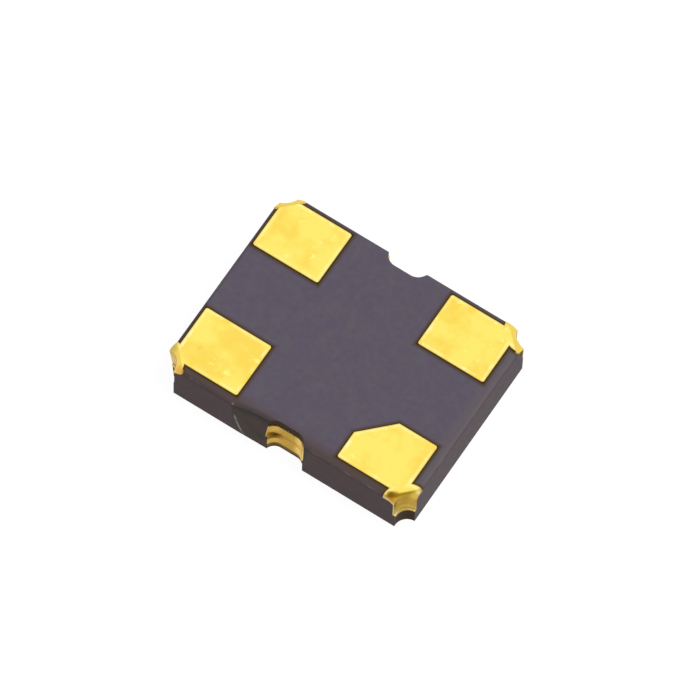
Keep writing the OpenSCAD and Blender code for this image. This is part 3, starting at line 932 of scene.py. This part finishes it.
def terminal(number):
    """One terminal: a printed pad, its collar, and the plating of its slope and castellation."""
    sx, sy = CORNERS[number]
    piece = as_object(corner_drum(sx, sy, CAST_R, Z_SHELF, Z_TOP), "terminal", GOLD)
    carve(piece, slope_tool(sx, sy, SLOPE_REACH), operation="UNION")
    carve(piece, rounded_block(), operation="INTERSECT")
    pad = combine(pad_print(number, sx, sy), collar_print(sx, sy), "UNION")
    combine(piece, pad, "UNION")

    ledge = Z_SHELF + PLATE_T
    inner_r = CAST_R - PLATE_T
    carve(piece, corner_drum(sx, sy, inner_r - CAST_STEP, Z_SHELF - OVER, ledge + PLATE_T,
                             OUTER_SHIFT))
    carve(piece, corner_drum(sx, sy, inner_r, ledge, Z_PAD + OVER))
    carve(piece, slope_tool(sx, sy, SLOPE_REACH - PLATE_T * math.sqrt(2)))
    if number == 4:
        worn = block(body_low - Vector((OVER, OVER, 0)),
                     (body_low.x + WORN_L, body_low.y, WORN_TOP))
        turn(worn, WORN_ANGLE, "X", (0, body_low.y, WORN_TOP))
        carve(piece, worn)

    bm = reopened(piece)
    flatten_out(bm)
    soften(bm, [e for e in folds(bm, Z_PAD - HAIR) if min(f.normal.z for f in e.link_faces) > 0.5],
           FOLD_R, 4)
    soften(bm, [e for e in folds(bm, ledge - HAIR, 1.2) if highest(e) < ledge + HAIR], LEDGE_R)
    if number == 4:
        flare(bm)
    deliver(put_back(bm, piece), f"terminal_{number}_gold", f"terminal_{number}")


def side_contact(where):
    """The plated lining of a side notch, in two heights with a ledge between them."""
    side, middle_x = NOTCHES[where]
    low = side_low.z
    outer_x = middle_x + OUTER_SHIFT
    piece = as_object(notch(side, middle_x, 0.0, Z_SHELF, Z_FLOOR), "contact", GOLD)
    carve(piece, notch(side, outer_x, NOTCH_STEP, low, Z_SHELF + PLATE_T / 2), operation="UNION")
    carve(piece, notch(side, middle_x, PLATE_T, Z_SHELF + PLATE_T, Z_FLOOR + OVER))
    carve(piece, notch(side, outer_x, NOTCH_STEP + PLATE_T, low - OVER, Z_SHELF + 2 * PLATE_T))
    far = Vector((middle_x + LINING_END, side * BODY_W / 2, 0.0))
    bare = Vector((2 * OVER, OVER / 2, Z_SHELF - PLATE_T))
    carve(piece, block(far - Vector((0, bare.y, 0)), far + bare))
    combine(piece, envelope(), "INTERSECT")
    bm = reopened(piece)
    flatten_out(bm)
    put_back(bm, piece)
    piece.data.materials.clear()
    piece.data.materials.append(GOLD)
    deliver(piece, f"side_contact_{where}_gold", f"side_contact_{where}")


# ---- The closure and the pieces inside ----

def hoop(low, high, name, material):
    """A flat rectangular frame with rounded corners."""
    step = Vector((RING_W, RING_W, 0.0))
    clear = Vector((0.0, 0.0, OVER))
    piece = as_object(block(low, high, RING_R, RING_STEPS), name, material)
    return carve(piece, block(low + step - clear, high - step + clear, RING_R - RING_W, RING_STEPS))


def closure():
    """Braze film, seal ring and lid."""
    braze = hoop(*box_mm("ring_braze"), "braze", BRAZE)
    deliver(braze, "ring_braze_film", "ring_braze")
    ring = hoop(ring_low, ring_high, "ring", RING_ALLOY)
    deliver(eased(ring, 0.010), "seal_ring_frame", "seal_ring")
    lid_r = RING_R - (ring_high.x - lid_high.x)
    lid = as_object(block(lid_low, lid_high, lid_r, RING_STEPS), "lid", NICKEL)
    deliver(eased(lid, 0.015), "lid_plate", "lid")


def dome(node, name, material, bulge):
    """A small round lump between two flat faces, with its side swelling out to the full radius."""
    low, high = box_mm(node)
    centre, radius = (low + high) / 2, (high.x - low.x) / 2
    tall = high.z - low.z
    steps = 6
    side = [(radius - bulge * (2 * i / steps - 1) ** 2, low.z + tall * i / steps)
            for i in range(steps + 1)]
    bm = turned([(0.0, low.z), *side, (0.0, high.z)], centre.xy, BEAD_ROUND)
    deliver(as_object(bm, name, material), name, node)


def plate(node, name, material, corner, ease):
    """A small flat plate with rounded corners and eased edges."""
    low, high = box_mm(node)
    piece = as_object(block(low, high, corner, 4), name, material)
    deliver(eased(piece, ease, 2), name, node)


def inner_pieces():
    """The crystal and the chip, sealed inside."""
    plate("crystal_blank", "quartz_strip", QUARTZ, 0.012, 0.006)
    plate("oscillator_chip", "chip_die", SILICON, 0.004, 0.003)
    for n in (1, 2):
        plate(f"crystal_land_{n}", f"crystal_land_{n}_gold", GOLD, 0.02, 0.004)
        dome(f"adhesive_dot_{n}", f"adhesive_dot_{n}_cured", ADHESIVE, 0.016)
    for n in range(1, 7):
        dome(f"chip_bump_{n}", f"chip_bump_{n}_gold", GOLD, 0.010)
        plate(f"chip_land_{n}", f"chip_land_{n}_gold", GOLD, 0.012, 0.004)
    for node in ("chip_side_electrode", "lid_side_electrode"):
        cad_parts[node].data.materials.clear()
        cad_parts[node].data.materials.append(FILM)


ceramic()
for number in CORNERS:
    terminal(number)
for where in NOTCHES:
    side_contact(where)
closure()
inner_pieces()


# ---- Floor and light ----

SEEN_AS_WHITE = ("Is Camera Ray", "Is Glossy Ray", "Is Transmission Ray")
FILL = 0.42             # strength of the surroundings on the object
KEY = 2.07
KEY_SPREAD = 38.0       # in degrees; wide, for a soft shadow
KEY_FROM = Vector((0.46, 0.10, 0.88)).normalized()


def pale_floor():
    """A white table that looks white to the eye and in reflections, and keeps the shadow."""
    glow_share, glow_strength = 0.88, 1.08
    bm = bmesh.new()
    bmesh.ops.create_grid(bm, x_segments=1, y_segments=1, size=2.0)
    f = Finish("white_table", Base_Color=(0.8, 0.8, 0.8, 1.0), Roughness=0.9,
               Specular_IOR_Level=0.1)
    rays = f.node("ShaderNodeLightPath")
    seen, *others = (rays.outputs[kind] for kind in SEEN_AS_WHITE)
    for other in others:
        seen = f.math("MAXIMUM", seen, other)
    glow = f.node("ShaderNodeEmission", Strength=glow_strength)
    blend = f.node("ShaderNodeMixShader")
    f.join(f.times(seen, glow_share), blend.inputs[0])
    f.join(f.shader.outputs[0], blend.inputs[1])
    f.join(glow.outputs[0], blend.inputs[2])
    f.join(blend.outputs[0], f.tree.nodes["Material Output"].inputs["Surface"])
    floor = as_object(bm, "floor", f.material)


def surroundings():
    """White surroundings with a moderate fill."""
    world = bpy.data.worlds.new("studio")
    scene.world = world
    world.use_nodes = True
    tree = world.node_tree
    sky = tree.nodes["Background"]
    rays = tree.nodes.new("ShaderNodeLightPath")
    seen, *others = (rays.outputs[kind] for kind in SEEN_AS_WHITE)
    for other in others:
        most = tree.nodes.new("ShaderNodeMath")
        most.operation = "MAXIMUM"
        tree.links.new(seen, most.inputs[0])
        tree.links.new(other, most.inputs[1])
        seen = most.outputs[0]
    level = tree.nodes.new("ShaderNodeMapRange")
    level.inputs["To Min"].default_value = FILL
    level.inputs["To Max"].default_value = 1.0
    tree.links.new(seen, level.inputs["Value"])
    tree.links.new(level.outputs[0], sky.inputs["Strength"])
    sky.inputs["Color"].default_value = (1, 1, 1, 1)


def key_light():
    """One soft light from the right."""
    sun = bpy.data.lights.new("key", "SUN")
    sun.energy = KEY
    sun.angle = math.radians(KEY_SPREAD)
    key = bpy.data.objects.new("key", sun)
    key.visible_glossy = False
    key.rotation_euler = KEY_FROM.to_track_quat("Z", "Y").to_euler()
    key.location = KEY_FROM * 0.3
    scene.collection.objects.link(key)


pale_floor()
surroundings()
key_light()
